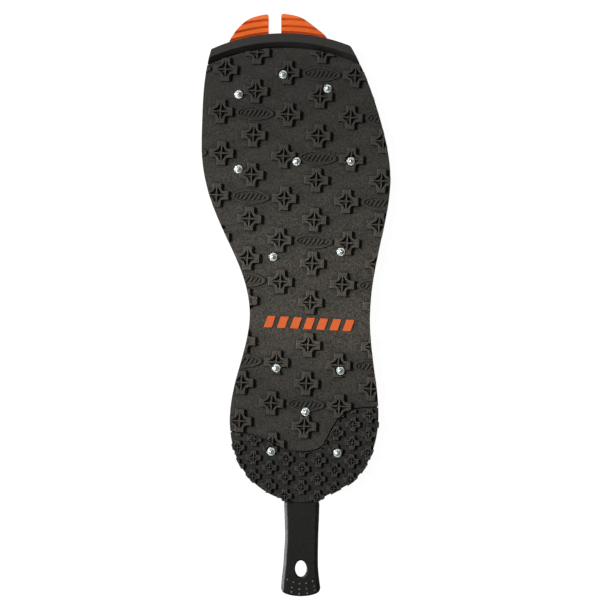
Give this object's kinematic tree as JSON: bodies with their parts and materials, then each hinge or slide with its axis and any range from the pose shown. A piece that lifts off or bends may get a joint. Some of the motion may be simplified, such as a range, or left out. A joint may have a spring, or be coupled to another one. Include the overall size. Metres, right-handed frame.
{
  "type": "studded winter outsole",
  "caption": "Removable rubber boot sole for ice and snow: cross-shaped lugs, screw-in carbide studs, ridged toe tongue and a flexible heel pull strap.",
  "frame": {"origin": "centre of the footprint box, on the plane of the face that meets the boot", "axes": "+Y to the toe, +X to the outer side of a left foot, +Z out of the tread towards the ground"},
  "size_m": [0.1208, 0.3733, 0.0124],
  "materials": {
    "carrier_rubber": "smooth moulded, matt",
    "tread_rubber": "fine-grained moulded tread rubber",
    "heel_rubber": "fine-grained moulded tread rubber",
    "strap_rubber": "smooth, faint sheen",
    "toe_orange": "smooth orange moulding",
    "inlay_orange": "satin orange moulding",
    "stud_steel": "zinc plated, turned",
    "carbide": "ground carbide",
    "socket_steel": "zinc plated"
  },
  "bodies": {
    "sole": {"carrier_plate": "carrier_rubber", "main_tread": "tread_rubber", "heel_tread": "heel_rubber", "toe_tongue": "toe_orange", "arch_inlay": "inlay_orange", "strap_anchor": "strap_rubber", "stud_01": "stud_steel", "stud_tip_01": "carbide", "stud_socket_01": "socket_steel", "stud_02": "stud_steel", "stud_tip_02": "carbide", "stud_socket_02": "socket_steel", "stud_03": "stud_steel", "stud_tip_03": "carbide", "stud_socket_03": "socket_steel", "stud_04": "stud_steel", "stud_tip_04": "carbide", "stud_socket_04": "socket_steel", "stud_05": "stud_steel", "stud_tip_05": "carbide", "stud_socket_05": "socket_steel", "stud_06": "stud_steel", "stud_tip_06": "carbide", "stud_socket_06": "socket_steel", "stud_07": "stud_steel", "stud_tip_07": "carbide", "stud_socket_07": "socket_steel", "stud_08": "stud_steel", "stud_tip_08": "carbide", "stud_socket_08": "socket_steel", "stud_09": "stud_steel", "stud_tip_09": "carbide", "stud_socket_09": "socket_steel", "stud_10": "stud_steel", "stud_tip_10": "carbide", "stud_socket_10": "socket_steel", "stud_11": "stud_steel", "stud_tip_11": "carbide", "stud_socket_11": "socket_steel", "stud_12": "stud_steel", "stud_tip_12": "carbide", "stud_socket_12": "socket_steel", "stud_13": "stud_steel", "stud_tip_13": "carbide", "stud_socket_13": "socket_steel"},
    "strap": {"heel_strap": "strap_rubber"}
  },
  "joints": [
    {"name": "strap_flex", "type": "hinge", "parent": "sole", "child": "strap", "pos_m": [0.0035, -0.128, 0.0022], "axis": [1, 0, 0], "range_deg": [-20, 90], "stiffness_Nm_per_rad": 0.12}
  ]
}
